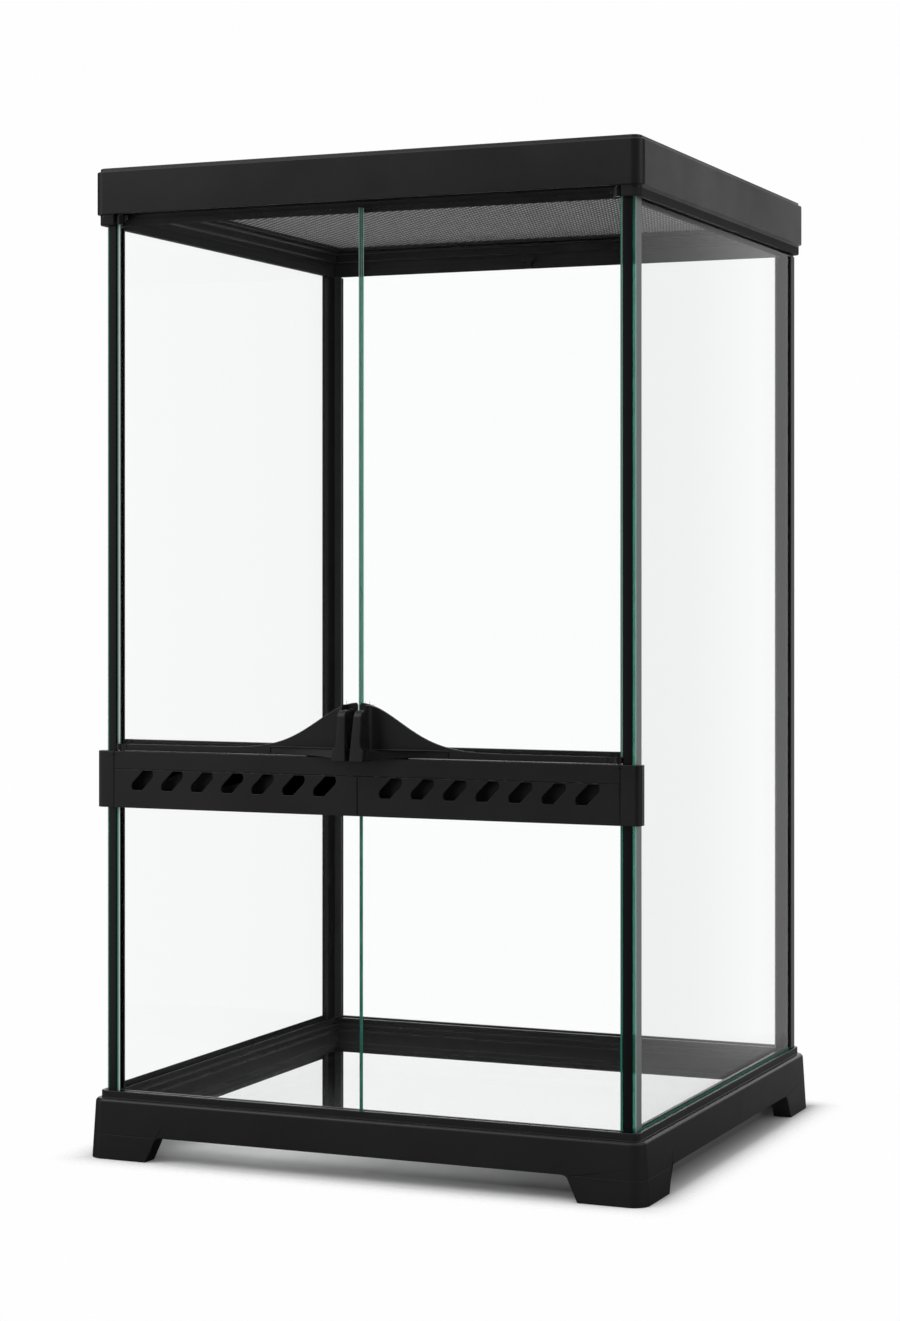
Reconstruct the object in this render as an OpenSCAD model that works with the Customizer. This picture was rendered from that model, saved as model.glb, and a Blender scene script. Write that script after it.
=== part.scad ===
// Front-opening glass terrarium: a moulded base and top frame, extruded corner posts, fixed
// side, back and lower front panes, two swinging glass doors above a slotted vent band, and a
// lift-out mesh screen. Millimetres, +Z up. The origin is on the floor, under the middle of
// the whole part, and the doors face -Y.

/* [Whole terrarium] */
// Height from the floor to the top of the frame
total_h = 600; // [450:10:900]
// Width over the outer faces of the side panes
glass_w = 340.6; // [320:0.2:600]
// Depth over the outer faces of the front and back panes
glass_d = 315.6; // [260:0.2:600]
// Thickness of every glass pane
glass_t = 4; // [3:0.5:5]
// Clearance between a pane and the channel it stands in
pane_fit = 0.2; // [0.1:0.05:0.3]
// Clearance between a door's glass and the parts bonded to it
face_gap = 0.05; // [0.02:0.01:0.1]

/* [Base frame] */
// Height of the skirt from the floor to its bevelled edge
skirt_h = 34.6; // [32:0.2:50]
// How far the top of the skirt stands out from the glass
skirt_reach = 6.4; // [5.5:0.1:12]
// How much further out the foot of the skirt stands than its top
skirt_flare = 2.2; // [0.4:0.2:5]
// Wall thickness of the skirt
skirt_wall = 2.6; // [2:0.2:3.2]
// Height and width of the bevel along the skirt's top edge
skirt_bevel = 1.4; // [0.6:0.2:2.2]
// Height of the feet below the skirt's lower edge
foot_h = 15; // [10:0.5:18]
// Length of a front or back foot where it meets the floor
foot_len_x = 40.4; // [30:0.2:60]
// Length of a side foot where it meets the floor
foot_len_y = 43.4; // [30:0.2:60]
// How far a foot's end leans out from the floor to the skirt
foot_slope = 7; // [2:0.5:12]
// Radius that blends a foot into the skirt's lower edge
foot_blend = 5; // [2:0.5:8]
// Thickness of the walls of a foot's corner block
foot_depth = 12; // [8:0.5:16]
// Radius of the vertical corners of the top frame
corner_r = 6.7; // [5:0.1:9]
// Height of the rim round the glass above the skirt
rim_rise = 4.5; // [3:0.5:8]
// Thickness of that rim
rim_wall = 2.6; // [2:0.2:3.4]
// Height of the glass channel's floor above the ground
channel_z = 27; // [24:0.5:29]
// Thickness of the ledge under the floor pane
ledge_t = 3; // [2:0.25:4]
// How far the ledge reaches under the floor pane
ledge_reach = 9; // [5:0.5:14]
// Number of steps on the inside of the glass channel
step_count = 3; // [2:1:4]
// Width of each step
step_run = 2.6; // [2:0.2:3.6]

/* [Top frame] */
// How far the top frame stands out from the glass
cap_reach = 5.5; // [4.5:0.1:9]
// Height of the top frame's outer band
cap_h = 28.2; // [27:0.2:40]
// Height of the stepped edge on top of the band
cap_step_h = 2.2; // [1:0.2:4]
// Set-back of the stepped edge
cap_step_in = 2; // [1:0.2:3]
// Height of the outer lip that hangs below the band
lip_h = 6.3; // [4:0.1:9]
// Set-back of the outer lip from the band
lip_in = 1.8; // [1:0.1:2.4]
// Thickness of the inner lip
lip_t = 2.4; // [1.8:0.2:3]
// How much lower the inner lip hangs than the outer one
inner_lip_drop = 1.5; // [0:0.1:4]
// Depth of the bead along the inside of the frame
bead_in = 2.4; // [1:0.2:3]
// Height of that bead's lower edge above the band's lower edge
bead_z = 2.5; // [1:0.1:4]
// Depth of the screen's recess in the top of the frame
screen_drop = 18.5; // [15:0.5:20]
// Width of the frame's flat top rim
cap_rim = 10; // [8:0.5:12]
// Width and thickness of the ledge that carries the screen
screen_ledge = [7, 2];

/* [Screen] */
// Clearance round the lift-out screen
screen_fit = 0.5; // [0.3:0.1:1.2]
// Width of the screen frame's flange
screen_flange = 11; // [9:0.5:18]
// Thickness of the flange and of the upstand round it
screen_wall = 2; // [1.6:0.2:3]
// Height of the screen frame's upstand
screen_h = 14; // [8:0.5:14.5]
// Distance between the mesh's wires
mesh_pitch = 15; // [12:1:30]
// Thickness of the mesh's wires
mesh_wire = 1; // [0.6:0.2:1.6]

/* [Corner posts] */
// Width of a front post's face
post_w = 5.3; // [4.5:0.1:8]
// Width of the side pane's edge that shows beside a front post
post_reveal = 2; // [0.5:0.1:3]
// How far a front post's flange reaches behind the door
stop_reach = 2.2; // [1.6:0.2:5]
// Clearance between the swinging edge of a door and its stop
stop_gap = 0.35; // [0.3:0.05:0.8]
// Thickness of the posts' thin walls
post_wall = 1.8; // [1.4:0.2:2.2]
// Width of a rear post's raised corner
rear_corner_w = 11; // [9:0.5:16]
// How far the raised corner stands out from the glass
rear_proud = 1.2; // [0.8:0.1:2]
// Radius of the raised corner
rear_r = 4; // [2:0.5:6]
// How far the panes reach into the raised corner
rear_bite = 3; // [2:0.5:4]
// Width of the flat strip inside the side pane, beside a rear post
rear_flange_w = 18; // [12:0.5:24]
// Width of a rear post's inner lip on the back pane
rear_lip_w = 7; // [6:0.5:12]

/* [Vent band] */
// Height of the vent band's lower edge above the floor
band_z = 212.5; // [120:0.5:260]
// Height of the vent band
band_h = 34.2; // [32:0.2:44]
// How far the vent band stands out from the glass
band_reach = 3.6; // [3.2:0.1:5]
// Wall thickness of the band
band_wall = 2; // [1.6:0.1:2.4]
// Height of the carrier's plain strip above the vent panels
strip_h = 10.8; // [9:0.2:12]
// How far the end caps stand out beside the glass
end_cap_reach = 4.2; // [3:0.1:6]
// How far the end caps reach back along the side glass
end_cap_back = 3.8; // [2:0.2:12]
// Radius of an end cap's outer edge
end_cap_r = 3.4; // [2:0.2:4]
// Number of slots in each vent panel
slot_count = 7; // [3:1:8]
// Distance between the slots
slot_pitch = 20.3; // [16:0.1:22]
// Distance of the outermost slot from the middle of the terrarium
slot_last_x = 143; // [130:0.5:150]
// Distance between the centres of a slot's round ends
slot_len = 10; // [6:0.5:12]
// Width of a slot across its slant
slot_w = 7.6; // [4:0.2:8]
// Height at which a slot's ends are cut level
slot_h = 11.8; // [8:0.2:13]
// Slant of the slots
slot_angle = 45; // [35:5:55]
// Height of the slots' middle above the band's lower edge
slot_z = 16.8; // [16:0.1:18]
// How far the lower panes reach up into the band
pane_grip = 7; // [5:0.5:9]
// Width, height and pitch of the small vents in the band's rear wall, behind the strip
rear_vent = [4, 6, 9];

/* [Doors] */
// Distance between the two doors' edges
door_gap = 0.8; // [0.6:0.2:2]
// Gap between a door's outer edge and its post
door_side_gap = 0.5; // [0.4:0.1:1.2]
// Clearance above and below the doors
door_play = 0.5; // [0.4:0.1:1]
// Radius of a hinge pin
pin_r = 1.5; // [1.2:0.1:1.6]
// Radial running clearance of a hinge pin
pin_fit = 0.05; // [0.02:0.01:0.09]
// Distance of a hinge pin from the door's outer edge, and radius of its barrel
pin_inset = 2.5; // [2.4:0.1:3.2]
// Depth to which the hinge pins sit in the band and in the top frame
pin_seat = 8; // [5:0.5:8.5]
// Length of the hinge shoes along the door
shoe_len = 7.5; // [6:0.5:14]
// Thickness of the door rail and shoes above or below the glass
rail_web = 2.8; // [2.4:0.2:4]
// Thickness of the rail's front leg and grip plate
rail_front = 2.1; // [1.6:0.1:2.6]
// Thickness of the rail's rear leg
rail_rear = 3.5; // [2:0.25:5]
// Height of the rail's rear leg
rail_rear_h = 6.3; // [5:0.1:10]
// Height of the rail's front leg
rail_front_h = 3.8; // [3.4:0.1:6]

/* [Door grips] */
// Height of the bell-shaped grip plate at the middle
bell_h = 31.6; // [20:0.2:40]
// Distance from the middle at which the bell has fallen to 37 percent of its rise
bell_w = 37.2; // [20:0.2:45]
// How far the grip's shelf stands out from the plate
shelf_reach = 10; // [5:0.5:13]
// Distance from the middle at which the shelf has fallen back to 37 percent of its reach
shelf_w = 26; // [16:0.5:34]
// Height of the shelf's front face
shelf_h = 4.4; // [3:0.2:6]
// How far the finger rib's top stands out from the plate
rib_reach = 13; // [12:0.5:20]
// How much further forward the rib's foot stands
rib_toe = 3; // [0:0.5:4]
// Height of the finger rib above the rail's underside
rib_h = 27.6; // [18:0.2:34]
// Thickness of the finger rib at its top
rib_t = 5; // [3.5:0.25:7]
// How much thicker the rib's foot is on its outer side
rib_flare = 2.2; // [1:0.1:4]
// Distance from the middle of the terrarium to the rib's foot
rib_inset = 1.3; // [1.2:0.1:3]
// How much further from the middle the rib's top is than its foot
rib_lean = 1.5; // [0:0.1:2]
// Depth to which rib and shelf hang in front of the vent band
rib_drop = 2; // [1:0.5:8]
// Distance from the middle at which that depth has fallen to 37 percent
drop_w = 18; // [8:0.5:30]
// Radius of the rib's front top corner
rib_r = 5; // [2:0.5:8]
// Radius of the fillet between rib and plate
rib_fillet = 6; // [2:0.5:8]

/* [Hidden] */
$fn = 48;
FACET_FN = 32;
EPS = 0.01;
BLACK = [0.06, 0.06, 0.06];
GLASS = [0.75, 0.88, 0.84, 0.35];
STEEL = [0.7, 0.7, 0.72];
MESH = [0.3, 0.3, 0.3];

// Half sizes of the glass box
gx = glass_w / 2;
gy = glass_d / 2;
// Space between a pane's outer face and the plastic inside it
grip = glass_t + pane_fit;

// Levels, from the floor up
ledge_z = channel_z - ledge_t;
deck_z = ledge_z - ledge_t;
rim_z = skirt_h + skirt_bevel + rim_rise;
band_top = band_z + band_h;
strip_z = band_top - strip_h;
rail_z = band_top + door_play;
door_z0 = rail_z + rail_web;
cap_z = total_h - cap_h;
door_z1 = cap_z - door_play - rail_web;
lip_z = cap_z - lip_h;
inner_lip_z = lip_z - inner_lip_drop;
glass_top = cap_z + bead_z;
screen_z = total_h - screen_drop;

// Distances outward from the glass: the base's steps and ledge, the frame's lip and bead
step_in = -grip - step_count * step_run;
ledge_in = step_in - ledge_reach;
lip_face = -grip - lip_t;
bead_face = lip_face - bead_in;
recess_u = cap_reach - cap_rim;
screen_u = recess_u - screen_fit;
screen_in = screen_u - screen_flange;

// Plan positions on the right-hand side
post_x1 = gx - post_reveal;
post_x0 = post_x1 - post_w;
door_x1 = post_x0 - door_side_gap;
door_x0 = door_gap / 2;
pin_x = door_x1 - pin_inset;
glass_back = -gy + glass_t + face_gap;
front_y = -gy - face_gap;
pin_y = front_y;
stop_x = post_x0 - stop_reach;
stop_y0 = pin_y + norm([pin_inset, glass_back - pin_y]) + stop_gap;
stop_y1 = stop_y0 + post_wall;
band_y = -gy - band_reach;
plate_y = -gy - rail_front;
rear_x = gx + rear_proud - rear_corner_w;
rear_y = gy + rear_proud - rear_corner_w;
rear_in_x = gx - grip - post_wall;
rear_in_y = gy - grip - post_wall;
hang_y = band_y - door_play;
rail_x0 = door_x0 + 0.3;
shoe_x0 = door_x1 - shoe_len;
rib_x = rib_inset + rib_lean;

// The origin lies under the middle of the part, from the ribs' toes to the base's back edge
front_reach = gy + rail_front + rib_reach + rib_toe;
back_reach = gy + skirt_reach + skirt_flare;
centre_y = (front_reach - back_reach) / 2;

// The whole part's place over its origin
module place() {
    translate([0, centre_y, 0]) children();
}

// The right-hand piece as drawn, or its mirror image on the left
module on(side) {
    mirror([side == "left" ? 1 : 0, 0, 0]) children();
}

// An extrusion between two heights
module rise(z0, z1) {
    translate([0, 0, z0]) linear_extrude(z1 - z0) children();
}

// Plan of the glass box grown by u, with square corners
module box_plan(u) {
    square([glass_w + 2 * u, glass_d + 2 * u], center = true);
}

// Plan of the glass box grown by u, with the moulded parts' round corners
module round_plan(u) {
    w = glass_w + 2 * u;
    d = glass_d + 2 * u;
    r = max(1, corner_r + u - cap_reach);
    square([w - 2 * r, d], center = true);
    square([w, d - 2 * r], center = true);
    for (x = [-1, 1], y = [-1, 1])
        translate([x * (w / 2 - r), y * (d / 2 - r)]) circle(r);
}

// A closed ring between two plans
module box_ring(u_out, u_in) {
    difference() {
        box_plan(u_out);
        box_plan(u_in);
    }
}

// A smooth wall that leans from plan u0 at z0 to plan u1 at z1
module leaning_block(u0, z0, u1, z1) {
    hull() {
        rise(z0, z0 + EPS) round_plan(u0, $fn = FACET_FN);
        rise(z1 - EPS, z1) round_plan(u1, $fn = FACET_FN);
    }
}

// An upright cut seen from the front: its 2D outline is in X and Z, and it runs along Y
module along_y(y0, y1) {
    translate([0, y1, 0]) rotate([90, 0, 0]) linear_extrude(y1 - y0) children();
}

// The same along X, with the outline in Y and Z
module along_x(x0, x1) {
    translate([x0, 0, 0]) rotate([90, 0, 90]) linear_extrude(x1 - x0) children();
}

// ---- Base frame -------------------------------------------------------------------------

// Half of the gap between two feet: a leaning foot end, then a blend into the level edge
function foot_gap_side(a) =
    let (len = norm([foot_slope, foot_h]),
         lean = atan2(foot_slope, foot_h),
         zp = foot_h - foot_blend * (1 - sin(lean)),
         xp = a - foot_slope * zp / foot_h,
         xc = xp - foot_blend * cos(lean))
    [[a + foot_slope / foot_h, -1],
     for (i = [0 : 8])
        let (t = lean + (90 - lean) * i / 8)
        [xc + foot_blend * cos(t), foot_h - foot_blend + foot_blend * sin(t)]];

// The gap between two feet whose inner ends are 2 * a apart on the floor
module foot_gap(a) {
    half = foot_gap_side(a);
    polygon(concat(half, [for (i = [len(half) - 1 : -1 : 0]) [-half[i][0], half[i][1]]]));
}

// The same gap without its level top, to trim the corner blocks behind the skirt
module block_gap(a) {
    top = a - foot_slope;
    polygon([[-a, -1], [a, -1], [a, 0], [top, foot_h], [top, skirt_h],
        [-top, skirt_h], [-top, foot_h], [-a, 0]]);
}

module base_frame() {
    foot_u = skirt_reach + skirt_flare;
    gap_x = gx + foot_u - foot_len_x;
    gap_y = gy + foot_u - foot_len_y;
    edge = gx + gy;
    color(BLACK) place() {
        // Skirt, bevel and rim round a well for the glass, the steps and the floor
        difference() {
            union() {
                leaning_block(foot_u, 0, skirt_reach, skirt_h);
                leaning_block(skirt_reach, skirt_h, skirt_reach - skirt_bevel,
                    skirt_h + skirt_bevel);
                rise(skirt_h, rim_z) round_plan(pane_fit + rim_wall);
            }
            rise(channel_z, rim_z + 1) box_plan(pane_fit);
            rise(ledge_z, rim_z) box_plan(step_in);
            rise(-1, rim_z) box_plan(ledge_in);
            leaning_block(foot_u - skirt_wall, -1, skirt_reach - skirt_wall + 1, deck_z);
            along_y(-edge, edge) foot_gap(gap_x);
            along_x(-edge, edge) foot_gap(gap_y);
        }
        // Steps that go down from the channel to the floor pane
        for (i = [0 : step_count - 1]) {
            top = rim_z - 0.5 - i * (rim_z - channel_z) / (step_count + 0.5);
            rise(channel_z - EPS, top) box_ring(-grip - i * step_run, -grip - (i + 1) * step_run);
        }
        // Corner blocks of the feet
        difference() {
            leaning_block(foot_u, 0, foot_u - skirt_flare * deck_z / skirt_h, deck_z + EPS);
            rise(-1, skirt_h) box_plan(foot_u - foot_depth);
            along_y(-edge, edge) block_gap(gap_x);
            along_x(-edge, edge) block_gap(gap_y);
        }
    }
}

// ---- Glass ------------------------------------------------------------------------------

module floor_pane() {
    color(GLASS) place() rise(ledge_z, ledge_z + glass_t) box_plan(step_in - pane_fit);
}

module side_pane(side) {
    color(GLASS) place() on(side)
        translate([gx - glass_t, -gy + post_wall, channel_z])
            cube([glass_t, gy - post_wall + rear_y + rear_bite, glass_top - channel_z]);
}

module back_pane() {
    half = rear_x + rear_bite;
    color(GLASS) place()
        translate([-half, gy - glass_t, channel_z])
            cube([2 * half, glass_t, glass_top - channel_z]);
}

// The lower front panes butt together under the vent band
module lower_pane(side) {
    x0 = 0.2;
    color(GLASS) place() on(side)
        translate([x0, -gy, channel_z])
            cube([door_x1 - x0, glass_t, band_z + pane_grip - channel_z]);
}

module door_pane(side) {
    color(GLASS) place() on(side)
        translate([door_x0, -gy, door_z0])
            cube([door_x1 - door_x0, glass_t, door_z1 - door_z0]);
}

// ---- Corner posts -----------------------------------------------------------------------

// Plan of a front post: a face over the side pane's edge, a web and a stop behind the door
module front_post_plan() {
    translate([post_x0, -gy]) square([post_w, post_wall]);
    translate([post_x0, -gy]) square([gx - grip - post_x0, stop_y1 + gy]);
    translate([stop_x, stop_y0]) square([post_x0 - stop_x + EPS, post_wall]);
}

module front_post(side) {
    color(BLACK) place() on(side) {
        rise(rim_z, inner_lip_z) front_post_plan();
        // Tongues that stand in the channels of the base and the top frame
        rise(channel_z, glass_top) intersection() {
            front_post_plan();
            translate([post_x0, -gy]) square([post_w, glass_t]);
        }
    }
}

// Plan of a rear post: a round raised corner with a slot for each pane, and an inner lip
module rear_post_plan() {
    x1 = gx + rear_proud;
    y1 = gy + rear_proud;
    difference() {
        union() {
            translate([rear_x, rear_y]) square([rear_corner_w - rear_r, rear_corner_w]);
            translate([rear_x, rear_y]) square([rear_corner_w, rear_corner_w - rear_r]);
            translate([x1 - rear_r, y1 - rear_r]) circle(rear_r);
            translate([rear_in_x + post_wall - rear_lip_w, rear_in_y])
                square([rear_lip_w, post_wall]);
        }
        // Slots for the side pane and the back pane
        translate([gx - grip, -gy])
            square([glass_t + 2 * pane_fit, gy + rear_y + rear_bite + pane_fit]);
        translate([-gx, gy - grip])
            square([gx + rear_x + rear_bite + pane_fit, glass_t + 2 * pane_fit]);
        // The room stays open in front of the lip
        square([gx - grip, rear_in_y]);
    }
}

module rear_post(side) {
    core_x = rear_x + rear_bite + pane_fit;
    core_y = rear_y + rear_bite + pane_fit;
    color(BLACK) place() on(side) {
        rise(rim_z, inner_lip_z) rear_post_plan();
        // The core between the two panes stands in the channels of the base and the top frame
        rise(channel_z, glass_top) difference() {
            translate([core_x, core_y]) square([gx - core_x, gy - core_y]);
            square([gx - glass_t, gy - glass_t]);
        }
    }
}

// Flat strip that holds the side pane from inside, between the rear post's lip and the room
module rear_strip(side) {
    color(BLACK) place() on(side)
        translate([rear_in_x, rear_in_y + post_wall - rear_flange_w, rim_z])
            cube([post_wall, rear_flange_w - post_wall, inner_lip_z - rim_z]);
}

// ---- Top frame --------------------------------------------------------------------------

module top_frame() {
    color(BLACK) place() difference() {
        union() {
            rise(cap_z, total_h - cap_step_h) round_plan(cap_reach);
            rise(cap_z, total_h) round_plan(cap_reach - cap_step_in);
            rise(lip_z, cap_z + EPS) round_plan(cap_reach - lip_in);
            rise(inner_lip_z, lip_z + EPS) box_plan(-grip);
        }
        // The opening, stepping in at the inner lip, the bead and the screen's ledge
        rise(inner_lip_z - 1, cap_z + bead_z) box_plan(lip_face);
        rise(cap_z, screen_z - screen_ledge[1]) box_plan(bead_face);
        rise(cap_z, total_h) box_plan(recess_u - screen_ledge[0]);
        rise(screen_z, total_h + 1) box_plan(recess_u);
        // The channel for the glass, left solid over the doors
        difference() {
            rise(inner_lip_z - 1, glass_top + pane_fit) box_ring(pane_fit, -grip);
            translate([-post_x0 + pane_fit, -gy - glass_t, cap_z])
                cube([2 * post_x0 - 2 * pane_fit, 3 * glass_t, cap_h]);
        }
        // Clear the lips in front of the doors
        translate([-post_x0 + pane_fit, -gy - 3 * cap_reach, inner_lip_z - 1])
            cube([2 * post_x0 - 2 * pane_fit, 3 * cap_reach + stop_y0 + gy, lip_h + inner_lip_drop + 1]);
        translate([-gx, -gy, inner_lip_z - 1]) cube([glass_w, 3 * glass_t, inner_lip_drop + 1]);
        // Seats of the upper hinge pins
        for (side = ["left", "right"]) on(side)
            translate([pin_x, pin_y, cap_z - 1]) cylinder(r = pin_r + pin_fit, h = pin_seat + 1.2);
    }
}

// Small T-shaped clip on the inside of the back lip, which holds a background panel
module rear_clip() {
    clip_x = -16;
    bar = [9.2, 2.2];
    stem = [4, 7.2];
    clip_t = 1.6;
    y = gy + lip_face - clip_t;
    color(BLACK) place() {
        translate([clip_x - bar[0] / 2, y, inner_lip_z + stem[1] - bar[1]])
            cube([bar[0], clip_t, bar[1]]);
        translate([clip_x - stem[0] / 2, y, inner_lip_z])
            cube([stem[0], clip_t, stem[1] - bar[1] + EPS]);
    }
}

// ---- Screen -----------------------------------------------------------------------------

module screen_frame() {
    color(BLACK) place() {
        rise(screen_z, screen_z + screen_wall) box_ring(screen_u, screen_in);
        rise(screen_z, screen_z + screen_h) box_ring(screen_u, screen_u - screen_wall);
    }
}

// The mesh lies on the screen frame's flange, inside its upstand
module screen_mesh() {
    u = screen_u - screen_wall - screen_fit;
    nx = floor((gx + u - mesh_wire) / mesh_pitch);
    ny = floor((gy + u - mesh_wire) / mesh_pitch);
    hole = mesh_pitch - mesh_wire;
    color(MESH) place() rise(screen_z + screen_wall, screen_z + screen_wall + mesh_wire)
        difference() {
            box_plan(u);
            for (x = [-nx : nx - 1], y = [-ny : ny - 1])
                translate([(x + 0.5) * mesh_pitch, (y + 0.5) * mesh_pitch])
                    square(hole, center = true);
        }
}

// ---- Vent band --------------------------------------------------------------------------

module vent_carrier() {
    half = door_x1;
    rear_half = stop_x - 0.3;
    rear_y0 = -gy + grip;
    vent_n = floor((rear_half - rear_vent[0]) / rear_vent[2]);
    color(BLACK) place() difference() {
        union() {
            // Front strip and top web
            translate([-half, band_y, strip_z]) cube([2 * half, band_wall, strip_h]);
            translate([-half, band_y, band_top - band_wall])
                cube([2 * half, rear_y0 - band_y, band_wall]);
            translate([-rear_half, band_y, band_top - band_wall])
                cube([2 * rear_half, rear_y0 + band_wall - band_y, band_wall]);
            // Rear wall, pierced by small vents
            along_y(rear_y0, rear_y0 + band_wall) difference() {
                translate([-rear_half, band_z]) square([2 * rear_half, band_h]);
                for (i = [-vent_n : vent_n])
                    translate([i * rear_vent[2] - rear_vent[0] / 2, strip_z + 1])
                        square([rear_vent[0], rear_vent[1]]);
            }
            // Bosses for the lower hinge pins
            for (side = ["left", "right"]) on(side)
                translate([pin_x, pin_y, band_top - pin_seat - 1])
                    cylinder(r = pin_inset, h = pin_seat + 1);
        }
        for (side = ["left", "right"]) on(side)
            translate([pin_x, pin_y, band_top - pin_seat])
                cylinder(r = pin_r + pin_fit, h = pin_seat + 1);
    }
}

// Outline of one slanting slot with level ends
module slot_plan() {
    intersection() {
        rotate(slot_angle) {
            square([slot_len, slot_w], center = true);
            for (s = [-1, 1]) translate([s * slot_len / 2, 0]) circle(d = slot_w);
        }
        square([3 * slot_len, slot_h], center = true);
    }
}

// Slotted front panel with a foot that closes the band below and tabs behind the strip
module vent_panel(side) {
    x0 = 0.2;
    x1 = door_x1;
    slant = side == "left" ? -1 : 1;
    panel_top = strip_z - 0.1;
    tab_w = 20;
    color(BLACK) place() on(side) {
        along_y(band_y, band_y + band_wall) difference() {
            translate([x0, band_z]) square([x1 - x0, panel_top - band_z]);
            for (i = [0 : slot_count - 1])
                translate([slot_last_x - i * slot_pitch, band_z + slot_z])
                    mirror([slant < 0 ? 1 : 0, 0]) slot_plan();
        }
        translate([x0, band_y, band_z])
            cube([x1 - x0, band_reach - pane_fit, band_wall]);
        for (x = [0.25, 0.7])
            translate([x * x1 - tab_w / 2, band_y + band_wall, band_z + slot_z + slot_h / 2 + 0.3])
                cube([tab_w, 1.2, 5]);
    }
}

// Cap that wraps the front corner of the glass at the end of the band
module end_cap(side) {
    x0 = door_x1 + 0.1;
    x1 = gx + end_cap_reach;
    gap = 0.1;
    color(BLACK) place() on(side) rise(band_z, band_top) difference() {
        union() {
            translate([x0, band_y]) square([x1 - x0 - end_cap_r, band_reach + end_cap_back]);
            translate([x0, band_y + end_cap_r])
                square([x1 - x0, band_reach + end_cap_back - end_cap_r]);
            translate([x1 - end_cap_r, band_y + end_cap_r]) circle(end_cap_r);
        }
        translate([x0 - 1, -gy - gap]) square([gx + gap - x0 + 1, band_reach + end_cap_back]);
    }
}

// ---- Doors ------------------------------------------------------------------------------

module hinge_pin(side, z0, z1) {
    color(STEEL) place() on(side) translate([pin_x, pin_y, z0]) cylinder(r = pin_r, h = z1 - z0);
}

module lower_hinge_pin(side) {
    hinge_pin(side, band_top - pin_seat, rail_z + rail_web - 0.6);
}

module upper_hinge_pin(side) {
    hinge_pin(side, door_z1 + 0.6, cap_z + pin_seat);
}

// Plan of the barrel round a hinge pin, in front of the glass
module barrel_plan() {
    intersection() {
        translate([pin_x, pin_y]) circle(pin_inset);
        translate([pin_x - pin_inset, pin_y - pin_inset]) square([2 * pin_inset, pin_inset]);
    }
}

// Plan of a shoe's web over or under the glass, with the hinge's barrel at its end
module shoe_web_plan() {
    barrel_plan();
    translate([shoe_x0, pin_y]) square([shoe_len, glass_back - pin_y]);
}

module lower_shoe(side) {
    leg_w = stop_x - 0.4 - shoe_x0;
    color(BLACK) place() on(side) difference() {
        union() {
            rise(rail_z, door_z0) {
                shoe_web_plan();
                translate([shoe_x0, plate_y]) square([leg_w, rail_rear + glass_back - plate_y]);
            }
            rise(rail_z, rail_z + rail_front_h) {
                barrel_plan();
                translate([shoe_x0, plate_y]) square([pin_x - shoe_x0, pin_y - plate_y]);
            }
            translate([shoe_x0, glass_back, rail_z]) cube([leg_w, rail_rear, rail_rear_h]);
        }
        translate([pin_x, pin_y, rail_z - 1]) cylinder(r = pin_r + pin_fit, h = rail_web + 0.6);
    }
}

// The upper shoe has only its barrel in front of the glass, which turns clear of the lip
module upper_shoe(side) {
    top = cap_z - door_play;
    color(BLACK) place() on(side) difference() {
        union() {
            rise(door_z1, top) shoe_web_plan();
            rise(door_z1 - rail_web, top) barrel_plan();
        }
        translate([pin_x, pin_y, top - rail_web + 0.4]) cylinder(r = pin_r + pin_fit, h = rail_web);
    }
}

// Bell curve: 1 at the middle, falling to 37 percent at distance w
function bell(x, w) = exp(-pow(x / w, 2));

// Grip plate seen from the front
module bell_plate_outline() {
    x_end = 3 * bell_w;
    base = rail_z + rail_front_h;
    rise = bell_h - rail_front_h;
    notch = 1.6;
    polygon([[rail_x0, rail_z],
        [rail_x0, base + rise * bell(rail_x0, bell_w) - notch],
        for (i = [0 : 44])
            let (x = rail_x0 + notch / 2 + (x_end - rail_x0 - notch / 2) * i / 44)
            [x, base + rise * bell(x, bell_w)],
        [x_end, rail_z]]);
}

// Shelf seen from above: it swells forward to the finger rib
module shelf_outline() {
    x_end = 2.2 * shelf_w;
    polygon([[rail_x0, plate_y + EPS],
        for (i = [0 : 24])
            let (x = rail_x0 + (x_end - rail_x0) * i / 24)
            [x, plate_y - shelf_reach * bell(x, shelf_w)],
        [x_end, plate_y + EPS]]);
}

// The hanging lip seen from the front: deepest at the rib, and running out along the shelf
module drop_outline() {
    x_end = 2.2 * shelf_w;
    polygon([[rail_x0, rail_z + EPS],
        for (i = [0 : 24])
            let (x = rail_x0 + (x_end - rail_x0) * i / 24)
            [x, rail_z - rib_drop * bell(x, drop_w)],
        [x_end, rail_z + EPS]]);
}

// Finger rib seen from the front: round top corners, and a foot that flares outward
module rib_front_outline() {
    top = rail_z + rib_h;
    foot = rail_z - rib_drop;
    knee = rail_z + shelf_h;
    r_in = 0.3 * rib_t;
    r_out = 0.4 * rib_t;
    polygon([[rib_inset, foot],
        for (t = [180 : -15 : 90]) [rib_x + r_in + r_in * cos(t), top - r_in + r_in * sin(t)],
        for (t = [90 : -15 : 0])
            [rib_x + rib_t - r_out + r_out * cos(t), top - r_out + r_out * sin(t)],
        [rib_x + rib_t, knee + 2 * rib_flare],
        [rib_x + rib_t + rib_flare / 3, knee + rib_flare / 2],
        [rib_x + rib_t + rib_flare, knee], [rib_x + rib_t + rib_flare, foot]]);
}

// Finger rib seen from the side: round front top corner, and a toe in front of the band
module rib_side_outline() {
    top = rail_z + rib_h;
    foot = rail_z - rib_drop;
    front = plate_y - rib_reach;
    polygon([[plate_y + EPS, rail_z], [hang_y, rail_z], [hang_y, foot], [front - rib_toe, foot],
        for (i = [0 : 10])
            let (t = 180 - 9 * i)
            [front + rib_r + rib_r * cos(t), top - rib_r + rib_r * sin(t)],
        [plate_y + EPS, top]]);
}

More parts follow.
